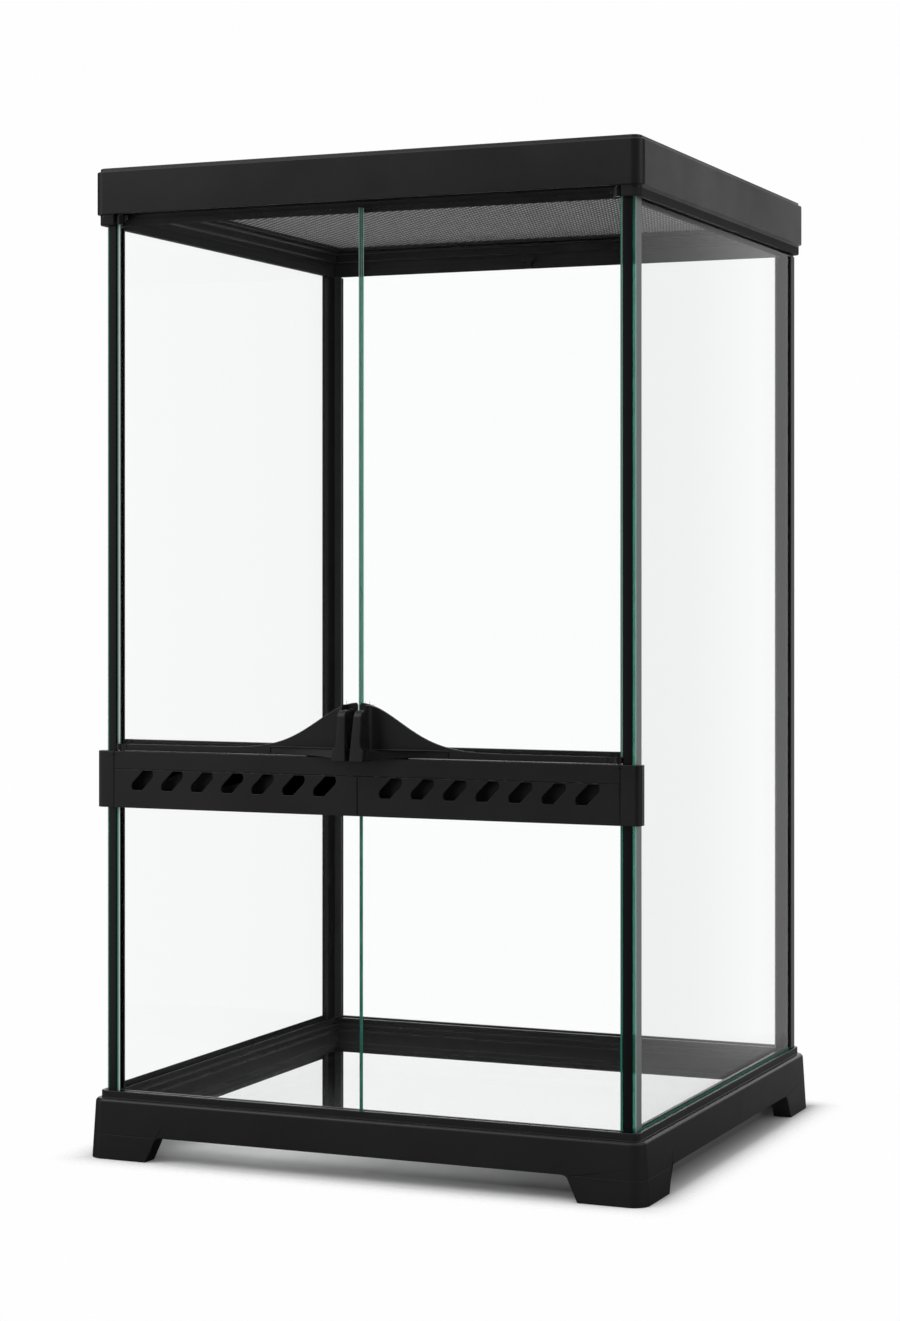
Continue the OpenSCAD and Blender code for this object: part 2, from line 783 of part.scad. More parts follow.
module door_rail(side) {
    x1 = shoe_x0 - 2 * face_gap;
    color(BLACK) place() on(side) {
        // Channel that grips the lower edge of the glass
        translate([rail_x0, plate_y, rail_z])
            cube([x1 - rail_x0, rail_rear + glass_back - plate_y, rail_web]);
        translate([rail_x0, plate_y, rail_z]) cube([x1 - rail_x0, front_y - plate_y, rail_front_h]);
        difference() {
            translate([rail_x0, glass_back, rail_z]) cube([x1 - rail_x0, rail_rear, rail_rear_h]);
            translate([rail_x0 - 1, glass_back + rail_rear - 0.6, rail_z + rail_rear_h / 2])
                cube([x1, 1, 1]);
        }
        // Bell plate, shelf and the lip that hangs in front of the band
        along_y(plate_y, front_y) bell_plate_outline();
        rise(rail_z, rail_z + shelf_h) shelf_outline();
        intersection() {
            rise(rail_z - rib_drop - 1, rail_z + EPS) shelf_outline();
            along_y(hang_y - 4 * shelf_reach, hang_y) drop_outline();
        }
        // Finger rib with a fillet to the plate
        intersection() {
            along_y(plate_y - 2 * rib_reach, plate_y + EPS) rib_front_outline();
            along_x(0, gx) rib_side_outline();
        }
        intersection() {
            rise(rail_z, rail_z + bell_h) difference() {
                translate([rib_x + rib_t - EPS, plate_y - rib_fillet])
                    square([rib_fillet, rib_fillet + EPS]);
                translate([rib_x + rib_t + rib_fillet, plate_y - rib_fillet]) circle(rib_fillet);
            }
            along_y(plate_y - rib_fillet, plate_y + 1) bell_plate_outline();
        }
    }
}

base_frame();
floor_pane();
side_pane("left");  // left_side_pane
side_pane("right");  // right_side_pane
back_pane();
lower_pane("left");  // left_lower_pane
lower_pane("right");  // right_lower_pane
front_post("left");  // left_front_post
front_post("right");  // right_front_post
rear_post("left");  // left_rear_post
rear_post("right");  // right_rear_post
rear_strip("left");  // left_rear_strip
rear_strip("right");  // right_rear_strip
top_frame();
vent_carrier();
vent_panel("left");  // left_vent_panel
vent_panel("right");  // right_vent_panel
end_cap("left");  // left_end_cap
end_cap("right");  // right_end_cap
lower_hinge_pin("left");  // left_lower_hinge_pin
lower_hinge_pin("right");  // right_lower_hinge_pin
upper_hinge_pin("left");  // left_upper_hinge_pin
upper_hinge_pin("right");  // right_upper_hinge_pin
rear_clip();
door_pane("left");  // left_door_pane
door_rail("left");  // left_door_rail
lower_shoe("left");  // left_lower_shoe
upper_shoe("left");  // left_upper_shoe
door_pane("right");  // right_door_pane
door_rail("right");  // right_door_rail
lower_shoe("right");  // right_lower_shoe
upper_shoe("right");  // right_upper_shoe
screen_frame();
screen_mesh();
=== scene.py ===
"""Front-opening glass terrarium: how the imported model's parts look, and the light they stand in.

After the camera and the studio, the sections follow the terrarium as it is put together: base
frame, glass box, posts, top frame, screen, vent band, doors and hinge pins. Metres, +Z up, in
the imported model's own frame.
"""
import math
import bpy
import numpy as np
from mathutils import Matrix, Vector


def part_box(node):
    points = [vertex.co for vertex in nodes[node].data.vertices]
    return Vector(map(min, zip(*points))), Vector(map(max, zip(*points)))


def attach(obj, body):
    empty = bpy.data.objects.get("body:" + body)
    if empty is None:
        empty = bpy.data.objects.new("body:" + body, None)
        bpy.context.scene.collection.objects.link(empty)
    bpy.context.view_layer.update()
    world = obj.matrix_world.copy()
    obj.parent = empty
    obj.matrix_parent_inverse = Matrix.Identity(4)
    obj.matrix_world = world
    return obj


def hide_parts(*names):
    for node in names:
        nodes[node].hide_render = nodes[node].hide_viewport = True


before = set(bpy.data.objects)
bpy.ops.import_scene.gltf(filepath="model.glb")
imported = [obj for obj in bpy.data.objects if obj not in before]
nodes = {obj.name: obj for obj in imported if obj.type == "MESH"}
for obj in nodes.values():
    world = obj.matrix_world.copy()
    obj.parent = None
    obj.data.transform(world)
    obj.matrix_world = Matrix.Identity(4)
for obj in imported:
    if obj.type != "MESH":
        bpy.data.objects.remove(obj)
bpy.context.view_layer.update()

scene = bpy.context.scene
scene.view_settings.view_transform = "Standard"

# ---- Camera -----------------------------------------------------------------------------
# A long lens, level, a little above half the terrarium's height and 23 degrees round to its
# right, so that uprights stay upright. The frame is shifted down instead of tilting.
EYE = (0.69369, -1.64013, 0.35263)
HEADING = math.radians(23.168)
LENS_MM = 76.5
FRAME_SHIFT = -0.06396

lens = bpy.data.cameras.new("camera")
lens.lens = LENS_MM
lens.shift_y = FRAME_SHIFT
camera = bpy.data.objects.new("camera", lens)
camera.location = EYE
camera.rotation_euler = (math.pi / 2, 0, HEADING)
scene.collection.objects.link(camera)
scene.camera = camera


# ---- Room -------------------------------------------------------------------------------
# A white room that lights the terrarium evenly from every side. White and black flats stand
# round its walls, and only gloss sees them, so that the black plastic and the glass have
# something to mirror.
BACKDROP = 0.99
ROOM_LIGHT = 0.82
CEILING = 0.9
# Sine of the climb at which a mirror begins to see the ceiling, and sees nothing else
CEILING_SPAN = (0.45, 0.8)
# Degrees round the room, clockwise from straight behind the terrarium, and the flat's
# brightness there
FLATS = [(-180, 0.02), (-160, 0.02), (-148, 0.8), (-126, 1.0), (-108, 1.0), (-98, 0.04),
         (-52, 0.04), (-38, BACKDROP), (16.3, BACKDROP), (18.8, 0.34), (32, 0.12), (45, 0.04),
         (78, 0.04), (86, 0.95), (98, 0.95), (106, 0.03), (180, 0.03)]


def node_of(tree, kind, inputs=None, **settings):
    """A shader node of that kind, with its inputs given by name or number. A value is set on
    the socket, and another node's output is linked to it."""
    made = tree.nodes.new("ShaderNode" + kind)
    for key, value in settings.items():
        setattr(made, key, value)
    for key, value in (inputs or {}).items():
        if isinstance(value, bpy.types.NodeSocket):
            tree.links.new(value, made.inputs[key])
        else:
            made.inputs[key].default_value = value
    return made


def calc(tree, operation, *values):
    """The result of one Math node."""
    return node_of(tree, "Math", dict(enumerate(values)), operation=operation).outputs[0]


def component(tree, vector, axis):
    """A vector's X, Y or Z."""
    return node_of(tree, "SeparateXYZ", {0: vector}).outputs[axis]


def remap(tree, value, span, levels=(0.0, 1.0), **settings):
    """A value that goes from the first level to the second over the span, and stays level on
    both sides of it."""
    return node_of(tree, "MapRange", {"Value": value, "From Min": span[0], "From Max": span[1],
                                      "To Min": levels[0], "To Max": levels[1]},
                   **settings).outputs[0]


def grey(level):
    """The colour of a grey level."""
    return (level, level, level, 1)


def graph(tree, value, stops):
    """The tone that a row of (value, tone) stops gives: straight from stop to stop, and level
    before the first and after the last. A tone is a grey level or a colour."""
    start, end = stops[0][0], stops[-1][0]
    made = node_of(tree, "ValToRGB", {0: remap(tree, value, (start, end))})
    elements = made.color_ramp.elements
    for i, (spot, tone) in enumerate(stops):
        place = (spot - start) / (end - start)
        element = elements[i] if i < 2 else elements.new(place)
        element.position = place
        element.color = tone if isinstance(tone, tuple) else grey(tone)
    return made.outputs[0]


def blend(tree, share, first, second):
    """The colour that goes from the first to the second as share goes from 0 to 1."""
    return node_of(tree, "Mix", {0: share, 6: first, 7: second}, data_type="RGBA").outputs[2]


def blend_shaders(tree, share, first, second):
    """The shader that goes from the first to the second as share goes from 0 to 1."""
    return node_of(tree, "MixShader", {0: share, 1: first, 2: second}).outputs[0]


def eye_sees(tree):
    """1 for what the camera sees, directly or through glass, and 0 for all other light."""
    path = node_of(tree, "LightPath")
    return calc(tree, "MAXIMUM", path.outputs["Is Camera Ray"],
                path.outputs["Is Transmission Ray"])


def gloss_sees(tree):
    """1 for what a glossy surface mirrors, and 0 for all other light."""
    return node_of(tree, "LightPath").outputs["Is Glossy Ray"]


room = bpy.data.worlds.new("studio")
room.use_nodes = True
scene.world = room
tree = room.node_tree
tree.nodes.clear()
direction = node_of(tree, "TexCoord").outputs["Generated"]
heading = calc(tree, "ARCTAN2", component(tree, direction, "X"), component(tree, direction, "Y"))
flats = graph(tree, heading, [(math.radians(degrees), level) for degrees, level in FLATS])
overhead = remap(tree, component(tree, direction, "Z"), CEILING_SPAN)
mirrored = blend(tree, overhead, flats, grey(CEILING))
even, gloss, backdrop = [node_of(tree, "Background", {"Color": colour}).outputs[0]
                         for colour in (grey(ROOM_LIGHT), mirrored, grey(BACKDROP))]
unseen = blend_shaders(tree, gloss_sees(tree), even, gloss)
node_of(tree, "OutputWorld", {"Surface": blend_shaders(tree, eye_sees(tree), unseen, backdrop)})


# ---- Floor card -------------------------------------------------------------------------
# A pale sheet of card that the terrarium stands on. It fades into the backdrop a little way
# round the base, and carries a painted shadow: the card is darker in the narrow gap under the
# front and the right skirt.
CARD_HALF = 8.0
CARD = (0.9, 0.9, 0.905, 1)
# Colour of the card where its painted shadow is deepest
CARD_PAINTED_SHADOW = (0.1, 0.1, 0.1, 1)
# How far round the base the eye sees the card, and the span over which it ends for all other
# light, which keeps the tone of the skirt and of what the glass mirrors
EYE_REACH = 0.026
LIGHT_SPAN = (0.12, 0.3)
# How deep the painted shadow on the card is at an X, in a band under the front skirt and in
# one under the right skirt. Both begin over one span of Y, and the front band ends over another.
PAINTED_SHADOW_AT_FRONT = [(0.2, 0.0), (0.184, 0.3), (0.16, 0.95), (0.1, 0.95), (0.0, 0.7), (-0.08, 0.25)]
PAINTED_SHADOW_AT_RIGHT = [(0.2, 0.0), (0.184, 0.3), (0.16, 0.95), (0.11, 0.95), (0.06, 0.0)]
PAINTED_SHADOW_BEGINS = (-0.158, -0.132)
FRONT_PAINTED_SHADOW_ENDS = (-0.08, -0.045)
# How bright the card is in a mirror, at a Y
MIRRORED_CARD = [(-0.1, 0.07), (0.2, 0.4)]


def vector_calc(tree, operation, *vectors, result="Vector"):
    """The result of one Vector Math node."""
    return node_of(tree, "VectorMath", dict(enumerate(vectors)),
                   operation=operation).outputs[result]


def material(name):
    """An empty material, its node tree, and the socket that its shader goes to."""
    made = bpy.data.materials.new(name)
    made.use_nodes = True
    made.node_tree.nodes.clear()
    return made, made.node_tree, node_of(made.node_tree, "OutputMaterial").inputs["Surface"]


def white_card():
    """Matt card that turns to nothing away from the base. The distance is that from the base
    frame's footprint, a rectangle: the length of what is left of (|x|, |y|) past its sides."""
    made, tree, surface = material("white_card")
    place = node_of(tree, "TexCoord").outputs["Object"]
    x, y = component(tree, place, "X"), component(tree, place, "Y")
    low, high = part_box("base_frame")
    middle = ((low.x + high.x) / 2, (low.y + high.y) / 2, 0)
    half = ((high.x - low.x) / 2, (high.y - low.y) / 2, 0)
    offset = vector_calc(tree, "ABSOLUTE", vector_calc(tree, "SUBTRACT", place, middle))
    outside = vector_calc(tree, "MAXIMUM", vector_calc(tree, "SUBTRACT", offset, half), (0, 0, 0))
    distance = vector_calc(tree, "LENGTH", outside, result="Value")
    closeness = remap(tree, distance, (0, EYE_REACH), (1, 0))
    gone_for_eye = calc(tree, "SUBTRACT", 1.0, calc(tree, "POWER", closeness, 2.0))
    gone_for_light = remap(tree, distance, LIGHT_SPAN)
    gone = node_of(tree, "Mix", {0: eye_sees(tree), 2: gone_for_light,
                                 3: gone_for_eye}).outputs[0]
    # Painted shadow: the card darkens in a band under the front skirt and in one under the right
    # skirt
    front_shadow_band = calc(tree, "MULTIPLY", graph(tree, x, PAINTED_SHADOW_AT_FRONT),
                      remap(tree, y, FRONT_PAINTED_SHADOW_ENDS, (1, 0)))
    shadow_bands = calc(tree, "MAXIMUM", front_shadow_band, graph(tree, x, PAINTED_SHADOW_AT_RIGHT))
    painted_shadow = calc(tree, "MULTIPLY", shadow_bands, remap(tree, y, PAINTED_SHADOW_BEGINS))
    tone = blend(tree, gloss_sees(tree), blend(tree, painted_shadow, CARD, CARD_PAINTED_SHADOW),
                 graph(tree, y, MIRRORED_CARD))
    paper = node_of(tree, "BsdfDiffuse", {"Color": tone}).outputs[0]
    nothing = node_of(tree, "BsdfTransparent", {"Color": grey(1.0)}).outputs[0]
    tree.links.new(blend_shaders(tree, gone, paper, nothing), surface)
    return made


card_mesh = bpy.data.meshes.new("floor")
card_mesh.from_pydata([(-CARD_HALF, -CARD_HALF, 0), (CARD_HALF, -CARD_HALF, 0),
                       (CARD_HALF, CARD_HALF, 0), (-CARD_HALF, CARD_HALF, 0)],
                      [], [(0, 1, 2, 3)])
card_mesh.materials.append(white_card())
card = bpy.data.objects.new("floor", card_mesh)
scene.collection.objects.link(card)


# ---- Lamps ------------------------------------------------------------------------------
# Two square softboxes on stands, one high on the front left and one on the right. They shade
# the mouldings gently and cast a soft shadow on the card.
def softbox(name, spot, aim, width, watts):
    """A square area lamp at spot, turned to face aim."""
    lamp = bpy.data.lights.new(name, "AREA")
    lamp.size = width
    lamp.energy = watts
    holder = bpy.data.objects.new(name, lamp)
    holder.location = spot
    line = np.array(aim) - np.array(spot)
    holder.rotation_euler = (math.acos(-line[2] / np.linalg.norm(line)), 0,
                             math.atan2(line[1], line[0]) - math.pi / 2)
    scene.collection.objects.link(holder)


softbox("lamp_front_left", spot=(-1.2, -1.4, 1.9), aim=(0, 0, 0.2), width=1.3, watts=15)
softbox("lamp_right", spot=(2.6, 0.2, 1.7), aim=(0, 0, 0.3), width=1.4, watts=12)


# ---- Base frame -------------------------------------------------------------------------
# One injection moulding in black plastic with a fine satin grain: a flared skirt on four
# feet, with channels for the glass. The two halves of its mould leave a fine line round it.
BASE_EDGE = 0.0005
# The mould's line: its height, half its width, and its depth
PARTING_Z = 0.015
PARTING_HALF = 0.0003
PARTING_DEPTH = 0.0002
# Two levels of black, and the span of the clouds over which one turns into the other
BLACK = 0.0055
BLACK_WORN = 0.0085
WORN_SPAN = (0.35, 0.7)
# The span of the clouds over which the roughness goes from the low spread to the high one
SHEEN_SPAN = (0.3, 0.7)
SHEEN_SPREAD = (-0.05, 0.06)
CLOUD_PER_M = 14
GRAIN_PER_M = 2600
GRAIN_STRENGTH = 0.12
GRAIN_DEPTH = 0.0003
SPECULAR_LEVEL = 0.3
# Cosine past which a face counts as one that looks up
LOOKS_UP = 0.6
# Points nearer than the gap are one, faces that meet at less than the flat angle are one face,
# and an edge that turns by more than the sharp angle is rounded
WELD_GAP = 3e-5
FLAT_ANGLE = math.radians(1)
SHARP_ANGLE = math.radians(30)


def noise(tree, place, per_m, detail=2.0, roughness=0.5):
    """Smooth noise from 0 to 1, with per_m lumps to the metre."""
    return node_of(tree, "TexNoise", {"Vector": place, "Scale": per_m, "Detail": detail,
                                      "Roughness": roughness}).outputs["Fac"]


def black_plastic(name, roughness, shade=1.0, drawn=1.0, smoother_up=0.12, parting_z=None,
                  matte=None, stripe=None):
    """Satin black plastic, a fine grain over soft clouds of sheen. Shade scales its colour, and
    drawn stretches both along Z, as on an extruded bar. Faces that look up are smoother by
    smoother_up. The mould leaves a fine line at the height parting_z. Matte is (height, step):
    what lies below that height is rougher by the step. Stripe is (x, half, tone): a stripe of
    that half width and tone runs up the bar at that x to either side."""
    made, tree, surface = material(name)
    coords = node_of(tree, "TexCoord")
    place = coords.outputs["Object"]
    height = component(tree, place, "Z")
    stretched = node_of(tree, "Mapping", {"Vector": place, "Scale": (1, 1, 1 / drawn)}).outputs[0]
    cloud = noise(tree, stretched, CLOUD_PER_M, detail=4.0, roughness=0.6)
    tone = graph(tree, cloud, [(WORN_SPAN[0], shade * BLACK), (WORN_SPAN[1], shade * BLACK_WORN)])
    if stripe:
        stripe_x, half, stripe_tone = stripe
        side = calc(tree, "ABSOLUTE", component(tree, place, "X"))
        off = calc(tree, "ABSOLUTE", calc(tree, "SUBTRACT", side, stripe_x))
        tone = blend(tree, remap(tree, off, (half / 2, half)), stripe_tone, tone)
    rough = remap(tree, cloud, SHEEN_SPAN, [roughness + spread for spread in SHEEN_SPREAD])
    if matte:
        below = calc(tree, "LESS_THAN", height, matte[0])
        rough = calc(tree, "MULTIPLY_ADD", below, matte[1], rough)
    upward = calc(tree, "GREATER_THAN", component(tree, coords.outputs["Normal"], "Z"), LOOKS_UP)
    rough = calc(tree, "MULTIPLY_ADD", upward, -smoother_up, rough)
    grain = noise(tree, stretched, GRAIN_PER_M, roughness=0.7)
    relief = node_of(tree, "Bump", {"Height": grain, "Distance": GRAIN_DEPTH,
                                    "Strength": GRAIN_STRENGTH / math.sqrt(drawn)}).outputs[0]
    if parting_z:
        off = calc(tree, "ABSOLUTE", calc(tree, "SUBTRACT", height, parting_z))
        line = remap(tree, off, (0, PARTING_HALF), (1, 0), interpolation_type="SMOOTHSTEP")
        relief = node_of(tree, "Bump", {"Height": line, "Distance": PARTING_DEPTH,
                                        "Strength": 1.0, "Normal": relief},
                         invert=True).outputs[0]
    shader = node_of(tree, "BsdfPrincipled", {"Base Color": tone, "Roughness": rough,
                                              "Normal": relief,
                                              "Specular IOR Level": SPECULAR_LEVEL})
    tree.links.new(shader.outputs[0], surface)
    return made


def finish(node, made):
    """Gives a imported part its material."""
    part = nodes[node]
    part.data.materials.clear()
    part.data.materials.append(made)


def soften(node, width, segments=2):
    """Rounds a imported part's sharp edges, by modifiers alone: its loose triangles are welded
    and joined to flat faces first."""
    part = nodes[node]
    weld = part.modifiers.new("weld", "WELD")
    weld.merge_threshold = WELD_GAP
    flat = part.modifiers.new("flat", "DECIMATE")
    flat.decimate_type = "DISSOLVE"
    flat.angle_limit = FLAT_ANGLE
    edge = part.modifiers.new("edge", "BEVEL")
    edge.width = width
    edge.segments = segments
    edge.limit_method = "ANGLE"
    edge.angle_limit = SHARP_ANGLE
    edge.use_clamp_overlap = False
    part.data.polygons.foreach_set("use_smooth", np.ones(len(part.data.polygons), bool))
    even = part.modifiers.new("even", "WEIGHTED_NORMAL")
    even.weight = 100


base_plastic = black_plastic("base_plastic", roughness=0.55, smoother_up=0.3,
                             parting_z=PARTING_Z)
finish("base_frame", base_plastic)
soften("base_frame", BASE_EDGE)


# ---- Glass box --------------------------------------------------------------------------
# Six panes of 4 mm float glass: the floor, the back, the sides and two low ones that butt at
# the middle of the front. Their edges are ground. They are bedded in black sealant, in the
# channels of the base and the posts.
CLEAR = (0.997, 1.0, 0.9985, 1)
# How much of the light a face mirrors head on, and how much more the sides, the front and back
# and the floor mirror at a slant
HEAD_ON = 0.004
SLANT_POWER = 5.0
SIDE_GAIN = 0.7
UPRIGHT_GAIN = 0.25
FLOOR_GAIN = 2.3
# Cosines: a face lies squarer to its axis than the first, an arris than the second, and an
# edge looks a hidden way by more than the third
SQUARE_FACE = 0.92
SQUARE_ARRIS = 0.3
HIDDEN_EDGE = 0.4
ARRIS = 0.0006
ARRIS_PALE = (0.42, 0.48, 0.46, 1)
EDGE_GREEN = (0.015, 0.12, 0.085, 1)
EDGE_LIGHT = (0.04, 0.23, 0.175, 1)
# The tint of the light that comes through an edge, and how much of it comes through
EDGE_GLOW = (0.12, 0.36, 0.28, 1)
GLOW_SHARE = 0.35
STREAK_PER_M = 60
# The sealant, which is all that the left pane shows of its front post, and the greenish grey
# that the right pane shows of the other one
SEALANT = (0.006, 0.006, 0.006, 1)
POST_GREY = (0.1, 0.113, 0.108, 1)
# How far behind the front posts a side pane still shows them, and how far above the base's
# rim it shows its green seat on the outside and the sealant on the inside
POST_SHOWS = 0.00365
SEAT_SHOWS = 0.0011
SEALANT_SHOWS = 0.0029
# Widths of the green ends of the front panes, and of the pale line beside the left one, a
# painted glint of the light that comes through its edge
GREEN_END = 0.0011
GLINT_END = 0.002
UP, DOWN = (0, 0, 1), (0, 0, -1)
LEFT, RIGHT = (-1, 0, 0), (1, 0, 0)
FRONT, BACK = (0, -1, 0), (0, 1, 0)


def float_glass(name, face_axis, hidden_ways, slant_gain, borders=()):
    """Clear glass whose faces lie square to face_axis. A face mirrors HEAD_ON of the light
    head on, and slant_gain times (1 - cosine) to SLANT_POWER more at a slant. The edges are
    green with a pale ground arris, apart from those that look one of the hidden ways, which
    stand in black channels. Each of borders is (way, reach, colour), a strip of the face that
    shows what stands behind it through the thick of the glass: a point is in it when its
    distance along that way is over reach, seen from outside the glass."""
    made, tree, surface = material(name)
    coords = node_of(tree, "TexCoord")
    place = coords.outputs["Object"]
    from_inside = node_of(tree, "NewGeometry").outputs["Backfacing"]
    from_outside = calc(tree, "SUBTRACT", 1.0, from_inside)
    turned = calc(tree, "MULTIPLY_ADD", from_inside, -2.0, 1.0)
    normal = node_of(tree, "VectorMath", {0: coords.outputs["Normal"], "Scale": turned},
                     operation="SCALE").outputs[0]

    def along(vector, way):
        return vector_calc(tree, "DOT_PRODUCT", vector, way, result="Value")

    squareness = calc(tree, "ABSOLUTE", along(normal, face_axis))
    is_face = calc(tree, "GREATER_THAN", squareness, SQUARE_FACE)
    is_arris = calc(tree, "SUBTRACT", calc(tree, "GREATER_THAN", squareness, SQUARE_ARRIS),
                    is_face)
    streak = noise(tree, place, STREAK_PER_M, detail=3.0)
    edge = graph(tree, streak, [(0.3, EDGE_GREEN), (0.7, EDGE_LIGHT)])
    is_clear = is_face
    for way, reach, colour in borders:
        inside = calc(tree, "GREATER_THAN", along(place, way), reach)
        inside = calc(tree, "MULTIPLY", inside, from_outside)
        is_clear = calc(tree, "MULTIPLY", is_clear, calc(tree, "SUBTRACT", 1.0, inside))
        edge = blend(tree, calc(tree, "MULTIPLY", inside, is_face), edge, colour)
    for way in hidden_ways:
        is_clear = calc(tree, "MAXIMUM", is_clear,
                        calc(tree, "GREATER_THAN", along(normal, way), HIDDEN_EDGE))
    slant = node_of(tree, "LayerWeight", {"Blend": 0.5}).outputs["Facing"]
    mirror = calc(tree, "MULTIPLY_ADD", calc(tree, "POWER", slant, SLANT_POWER), slant_gain,
                  HEAD_ON)
    clear = node_of(tree, "BsdfTransparent", {"Color": CLEAR}).outputs[0]
    shine = node_of(tree, "BsdfGlossy", {"Color": grey(1.0), "Roughness": 0.0}).outputs[0]
    face = blend_shaders(tree, mirror, clear, shine)
    edge = blend(tree, is_arris, edge, ARRIS_PALE)
    ground = node_of(tree, "BsdfPrincipled", {"Base Color": edge, "Roughness": 0.3,
                                              "Specular IOR Level": 0.2}).outputs[0]
    glow = node_of(tree, "BsdfTransparent", {"Color": EDGE_GLOW}).outputs[0]
    glow_share = calc(tree, "MULTIPLY_ADD", is_face, -GLOW_SHARE, GLOW_SHARE)
    rim = blend_shaders(tree, glow_share, ground, glow)
    tree.links.new(blend_shaders(tree, is_clear, rim, face), surface)
    return made


floor_glass = float_glass("floor_glass", UP, [FRONT, BACK, LEFT, RIGHT], FLOOR_GAIN)
finish("floor_pane", floor_glass)

back_glass = float_glass("back_glass", BACK, [UP, DOWN, LEFT, RIGHT], UPRIGHT_GAIN)
finish("back_pane", back_glass)

rim_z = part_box("base_frame")[1].z
for side, way, post_colour in (("left", -1, SEALANT), ("right", 1, POST_GREY)):
    low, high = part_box(side + "_side_pane")
    outer_x, inner_x = max(way * low.x, way * high.x), min(way * low.x, way * high.x)
    post = (FRONT, -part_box(side + "_front_post")[1].y - POST_SHOWS, post_colour)
    seat = ((way, 0, -1), outer_x - rim_z - SEAT_SHOWS, EDGE_GREEN)
    sealant = ((-way, 0, -1), -inner_x - rim_z - SEALANT_SHOWS, SEALANT)
    side_glass = float_glass(side + "_side_glass", RIGHT, [UP, DOWN, BACK], SIDE_GAIN,
                             [post, seat, sealant])
    finish(side + "_side_pane", side_glass)
    soften(side + "_side_pane", ARRIS, segments=1)

end_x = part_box("right_lower_pane")[1].x
front_glass = float_glass("front_glass", BACK, [UP, DOWN], UPRIGHT_GAIN,
                          # The pale strip is a painted glint of the light that comes through the
                          # left pane's edge
                          [(LEFT, end_x - GLINT_END, ARRIS_PALE),
                           (LEFT, end_x - GREEN_END, EDGE_GREEN),
                           (RIGHT, end_x - GREEN_END, EDGE_GREEN)])
finish("left_lower_pane", front_glass)
finish("right_lower_pane", front_glass)


# ---- Posts ------------------------------------------------------------------------------
# Drawn bars of black plastic that hold the panes at the four corners, and a flat strip
# inside each rear one. They are smooth and streaked lengthwise by the die. The rear posts
# are painted a lighter black, a painted highlight, and a black stripe runs up them.
POST_EDGE = 0.0003
STRETCH = 12.0
# The stripe: how far it is from the terrarium's middle, half its width, and its tone
STRIPE_X = 0.165
STRIPE_HALF = 0.0014
STRIPE_BLACK = grey(0.001)

drawn_plastic = black_plastic("drawn_plastic", roughness=0.25, shade=0.3, drawn=STRETCH)
# The rear posts' lighter black (shade 4.5) is a painted highlight, not the plastic's own colour
rear_painted_highlight_plastic = black_plastic("rear_bar_painted_highlight_plastic", roughness=0.42, shade=4.5, drawn=STRETCH,
                             stripe=(STRIPE_X, STRIPE_HALF, STRIPE_BLACK))
for side in ("left", "right"):
    for bar, bar_plastic in (("_front_post", drawn_plastic), ("_rear_post", rear_painted_highlight_plastic),
                             ("_rear_strip", drawn_plastic)):
        finish(side + bar, bar_plastic)
        soften(side + bar, POST_EDGE)


# ---- Top frame --------------------------------------------------------------------------
# One moulding that caps the glass and the posts: a smooth band with a stepped edge, and dull
# lips that hang over the panes. A small clip is pressed on inside its back lip.
TOP_EDGE = 0.0007
# The height of the dull lips, and how much rougher they are
LIP_H = 0.0062
MATTE_STEP = 0.35

lip_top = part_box("top_frame")[0].z + LIP_H
top_plastic = black_plastic("top_plastic", roughness=0.38, matte=(lip_top, MATTE_STEP))
finish("top_frame", top_plastic)
soften("top_frame", TOP_EDGE)
moulded = black_plastic("moulded_plastic", roughness=0.4)
finish("rear_clip", moulded)


# ---- Screen -----------------------------------------------------------------------------
# A moulded frame that lifts out of the top, with fine woven wire stretched across it. Each
# wire goes over one crossing and under the next. The warp is painted paler than the weft, a
# painted highlight for the light that catches the warp wires.
SCREEN_EDGE = 0.0004
PITCH = 0.0030
WIRE_R = 0.00035
SPECK_PER_M = 900


def woven_wires(along, across, z_mid, phase):
    """Wires along one axis. A wire's middle is at z_mid plus or minus its radius in turn at
    each crossing, and its section is a square stood on its corner. Returns points and faces:
    point (i, j, k) is wire i, crossing j, corner k."""
    n_wires = int((across[1] - across[0]) / PITCH)
    n_cross = int((along[1] - along[0]) / PITCH)
    place = (across[0] + across[1]) / 2 + (np.arange(n_wires) - (n_wires - 1) / 2) * PITCH
    cross = (along[0] + along[1]) / 2 + (np.arange(n_cross) - (n_cross - 1) / 2) * PITCH
    cross = np.concatenate([[along[0]], cross, [along[1]]])
    i, j = np.meshgrid(np.arange(n_wires), np.arange(n_cross + 2), indexing="ij")
    rise = WIRE_R * np.where((i + j + phase) % 2 == 0, 1.0, -1.0)
    turn = np.arange(4) * math.pi / 2
    points = np.empty((n_wires, n_cross + 2, 4, 3))
    points[..., 0] = cross[None, :, None]
    points[..., 1] = place[:, None, None] + WIRE_R * np.cos(turn)
    points[..., 2] = z_mid + rise[..., None] + WIRE_R * np.sin(turn)
    index = np.arange(n_wires * (n_cross + 2) * 4).reshape(n_wires, n_cross + 2, 4)
    here, after = index[:, :-1], index[:, 1:]
    sides = np.stack([here, after, np.roll(after, -1, 2), np.roll(here, -1, 2)], -1)
    ends = np.concatenate([index[:, 0], index[:, -1, ::-1]])
    return points.reshape(-1, 3), np.concatenate([sides.reshape(-1, 4), ends])


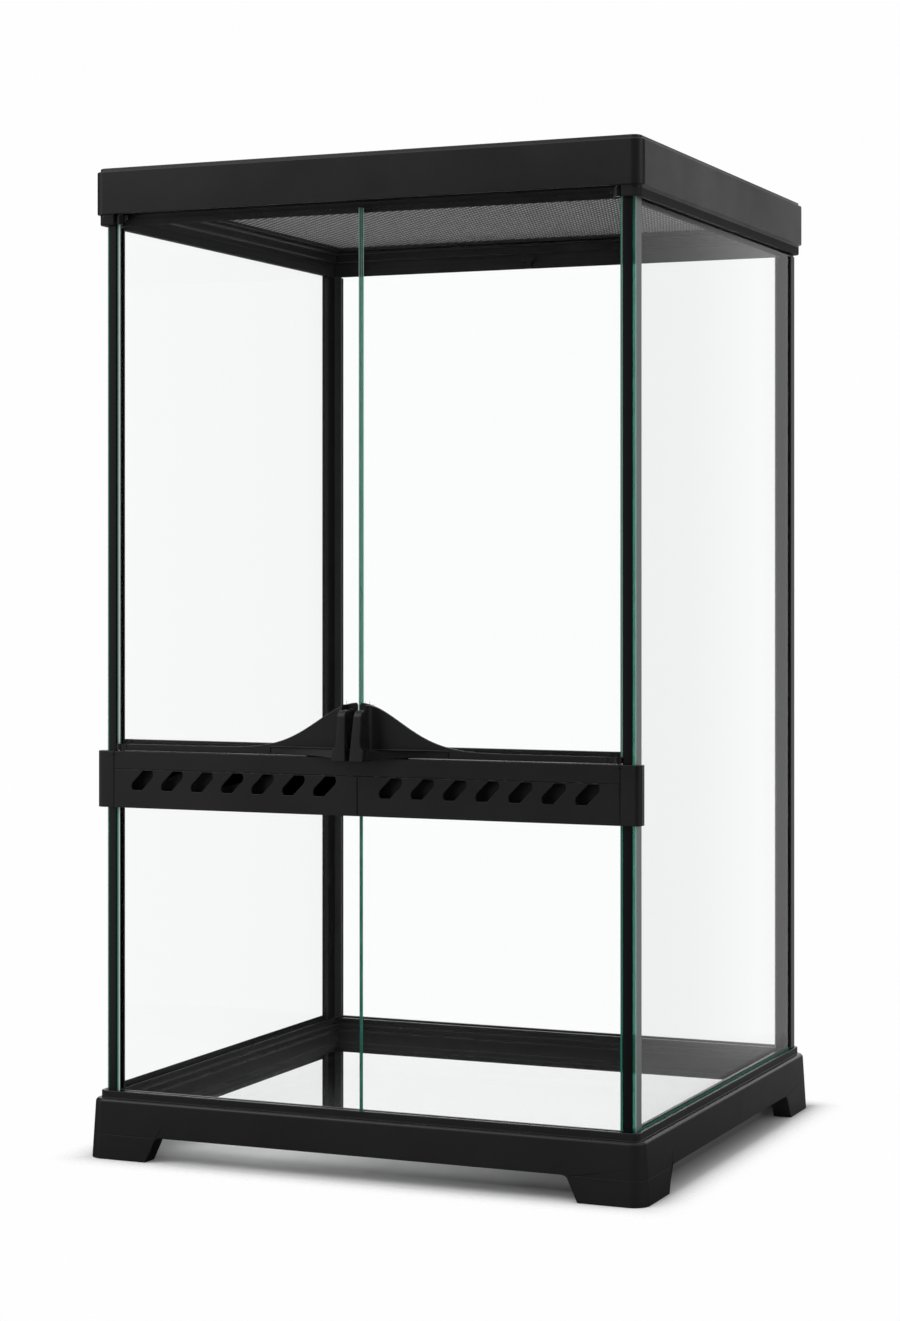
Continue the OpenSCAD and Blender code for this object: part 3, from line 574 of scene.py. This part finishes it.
def wire_piece(name, points, faces, coat):
    """A piece of the screen's mesh from its points and four-cornered faces."""
    mesh = bpy.data.meshes.new(name)
    mesh.vertices.add(len(points))
    mesh.vertices.foreach_set("co", points.astype(np.float32).ravel())
    mesh.loops.add(faces.size)
    mesh.loops.foreach_set("vertex_index", faces.astype(np.int32).ravel())
    mesh.polygons.add(len(faces))
    mesh.polygons.foreach_set("loop_start", np.arange(len(faces), dtype=np.int32) * 4)
    mesh.polygons.foreach_set("use_smooth", np.ones(len(faces), bool))
    mesh.update(calc_edges=True)
    mesh.validate()
    mesh.materials.append(coat)
    piece = bpy.data.objects.new(name, mesh)
    scene.collection.objects.link(piece)
    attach(piece, "screen")
    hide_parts("screen_mesh")


def coated_wire(name, dark, light):
    """Wire with a mottled coat between two greys."""
    made, tree, surface = material(name)
    speck = noise(tree, node_of(tree, "TexCoord").outputs["Object"], SPECK_PER_M)
    tone = graph(tree, speck, [(0.3, dark), (0.7, light)])
    shader = node_of(tree, "BsdfPrincipled", {"Base Color": tone, "Roughness": 0.4,
                                              "Metallic": 0.3})
    tree.links.new(shader.outputs[0], surface)
    return made


finish("screen_frame", moulded)
soften("screen_frame", SCREEN_EDGE)
low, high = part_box("screen_mesh")
mesh_z = (low.z + high.z) / 2
points, faces = woven_wires((low.x, high.x), (low.y, high.y), mesh_z, phase=0)
wire_piece("screen_weft", points, faces, coated_wire("weft", dark=0.05, light=0.12))
# The warp runs along Y: its X and Y change places, and its faces turn the other way round
points, faces = woven_wires((low.y, high.y), (low.x, high.x), mesh_z, phase=1)
# The warp's paler grey is a painted highlight: it is the same wire as the weft
wire_piece("screen_warp", points[:, [1, 0, 2]], faces[:, ::-1],
           coated_wire("warp", dark=0.25, light=0.55))


# ---- Vent band --------------------------------------------------------------------------
# A moulded carrier across the front, between the low panes and the doors. Two panels with
# slanting slots clip onto it, and a cap at each end wraps the corner of the glass.
BAND_EDGE = 0.0004
SLOT_EDGE = 0.0003

for name, width in (("vent_carrier", BAND_EDGE), ("left_vent_panel", SLOT_EDGE),
                    ("right_vent_panel", SLOT_EDGE), ("left_end_cap", BAND_EDGE),
                    ("right_end_cap", BAND_EDGE)):
    finish(name, moulded)
    soften(name, width)


# ---- Doors ------------------------------------------------------------------------------
# Two panes that swing on their outer corners. A moulded rail with half of the grip is fixed
# along the bottom of each, and a shoe at each outer corner takes a hinge pin.
RAIL_EDGE = 0.0005

for side in ("left", "right"):
    finish(side + "_door_pane", front_glass)
    soften(side + "_door_pane", ARRIS, segments=1)
    finish(side + "_door_rail", moulded)
    soften(side + "_door_rail", RAIL_EDGE)
    finish(side + "_lower_shoe", moulded)
    finish(side + "_upper_shoe", moulded)


# ---- Hinge pins -------------------------------------------------------------------------
# Bright drawn steel wire, cut to length. Two pins stand in the band and two hang from the
# top frame, and the doors' shoes turn on them.
DRAWN_LINES_PER_M = 4000
LINE_STRETCH = 20


def drawn_steel():
    """Bright steel with fine lines along Z."""
    made, tree, surface = material("pin_steel")
    place = node_of(tree, "TexCoord").outputs["Object"]
    drawn = node_of(tree, "Mapping", {"Vector": place,
                                      "Scale": (1, 1, 1 / LINE_STRETCH)}).outputs[0]
    tone = graph(tree, noise(tree, drawn, DRAWN_LINES_PER_M), [(0.3, 0.5), (0.7, 0.7)])
    shader = node_of(tree, "BsdfPrincipled", {"Base Color": tone, "Roughness": 0.3,
                                              "Metallic": 1.0})
    tree.links.new(shader.outputs[0], surface)
    return made


steel = drawn_steel()
for side in ("left", "right"):
    finish(side + "_lower_hinge_pin", steel)
    finish(side + "_upper_hinge_pin", steel)
